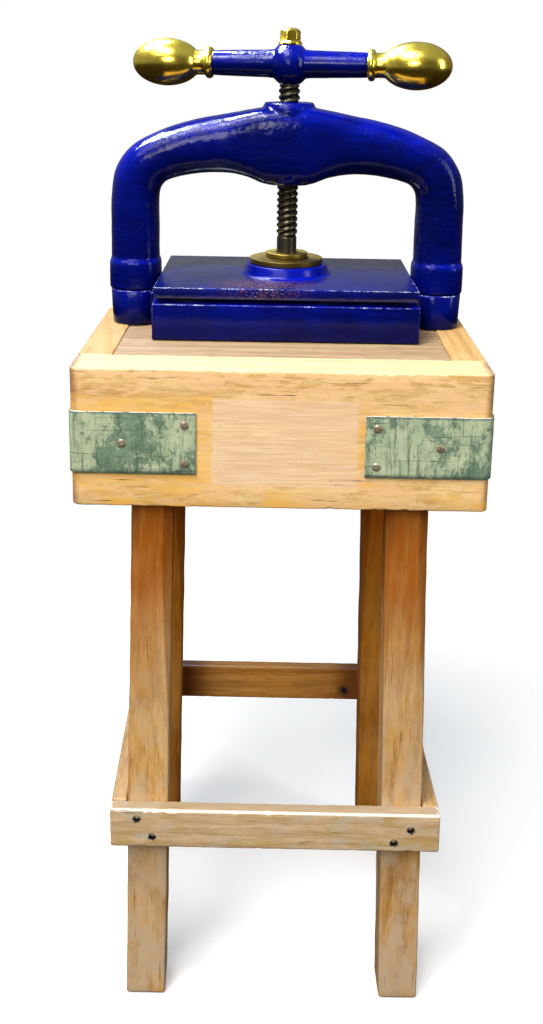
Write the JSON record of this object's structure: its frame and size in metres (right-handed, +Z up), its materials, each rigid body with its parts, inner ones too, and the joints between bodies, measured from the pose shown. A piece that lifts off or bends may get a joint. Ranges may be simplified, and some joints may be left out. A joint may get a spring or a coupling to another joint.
{
  "type": "bookbinding press",
  "caption": "Cast-iron screw press with a bar handle, arched frame, flat bed and moving platen, standing on a strapped pine block with splayed legs and low rails.",
  "frame": {"origin": "on the floor, under the middle of the bounding box", "axes": "+Z up, along the screw; -Y is the front, where the long board and the bed's front edge face; +X is to the right seen from the front"},
  "size_m": [0.5088, 0.4159, 1.2677],
  "materials": {
    "blue_paint": "gloss, over rough casting",
    "brass": "polished",
    "bronze": "dull, browned",
    "screw_thread": "oiled and darkened",
    "pine": "worn varnish",
    "pine_core": "bare and weathered",
    "pine_leg": "worn orange varnish",
    "strap_paint": "mottled, flaking",
    "screw_steel": "rusty"
  },
  "bodies": {
    "stand": {"block_front_board": "pine", "block_rear_board": "pine", "block_side_board_left": "pine", "block_side_board_right": "pine", "block_core_front": "pine_core", "block_core_middle": "pine_core", "block_core_rear": "pine_core", "leg_front_left": "pine_leg", "leg_front_right": "pine_leg", "leg_rear_left": "pine_leg", "leg_rear_right": "pine_leg", "rail_front": "pine_leg", "rail_rear": "pine_leg", "rail_left": "pine_leg", "rail_right": "pine_leg", "strap_front_left": "strap_paint", "strap_front_right": "strap_paint", "strap_rear_left": "strap_paint", "strap_rear_right": "strap_paint", "screw_front_left_face_1": "screw_steel", "screw_front_left_face_2": "screw_steel", "screw_front_left_face_3": "screw_steel", "screw_front_left_side_1": "screw_steel", "screw_front_left_side_2": "screw_steel", "screw_front_left_side_3": "screw_steel", "screw_front_right_face_1": "screw_steel", "screw_front_right_face_2": "screw_steel", "screw_front_right_face_3": "screw_steel", "screw_front_right_side_1": "screw_steel", "screw_front_right_side_2": "screw_steel", "screw_front_right_side_3": "screw_steel", "screw_rear_left_face_1": "screw_steel", "screw_rear_left_face_2": "screw_steel", "screw_rear_left_face_3": "screw_steel", "screw_rear_left_side_1": "screw_steel", "screw_rear_left_side_2": "screw_steel", "screw_rear_left_side_3": "screw_steel", "screw_rear_right_face_1": "screw_steel", "screw_rear_right_face_2": "screw_steel", "screw_rear_right_face_3": "screw_steel", "screw_rear_right_side_1": "screw_steel", "screw_rear_right_side_2": "screw_steel", "screw_rear_right_side_3": "screw_steel", "base_casting": "blue_paint", "arch_frame": "blue_paint"},
    "platen": {"platen": "blue_paint", "retaining_plate": "bronze", "retaining_ring": "brass"},
    "spindle": {"spindle": "screw_thread", "handle_bar": "blue_paint", "knob_left": "brass", "knob_right": "brass", "cap_washer": "brass", "cap_nut": "brass"}
  },
  "joints": [
    {"name": "platen_slide", "type": "slide", "parent": "stand", "child": "platen", "axis": [0, 0, 1], "range_m": [-0.0064, 0.0851]},
    {"name": "spindle_turn", "type": "hinge", "parent": "platen", "child": "spindle", "pos_m": [0.004, 0.07345, 1], "axis": [0, 0, 1], "range_deg": [-135, 1800]}
  ],
  "couplings": [
    {"joint": "platen_slide", "follows": "spindle_turn", "m_per_rad": 0.0027056}
  ]
}
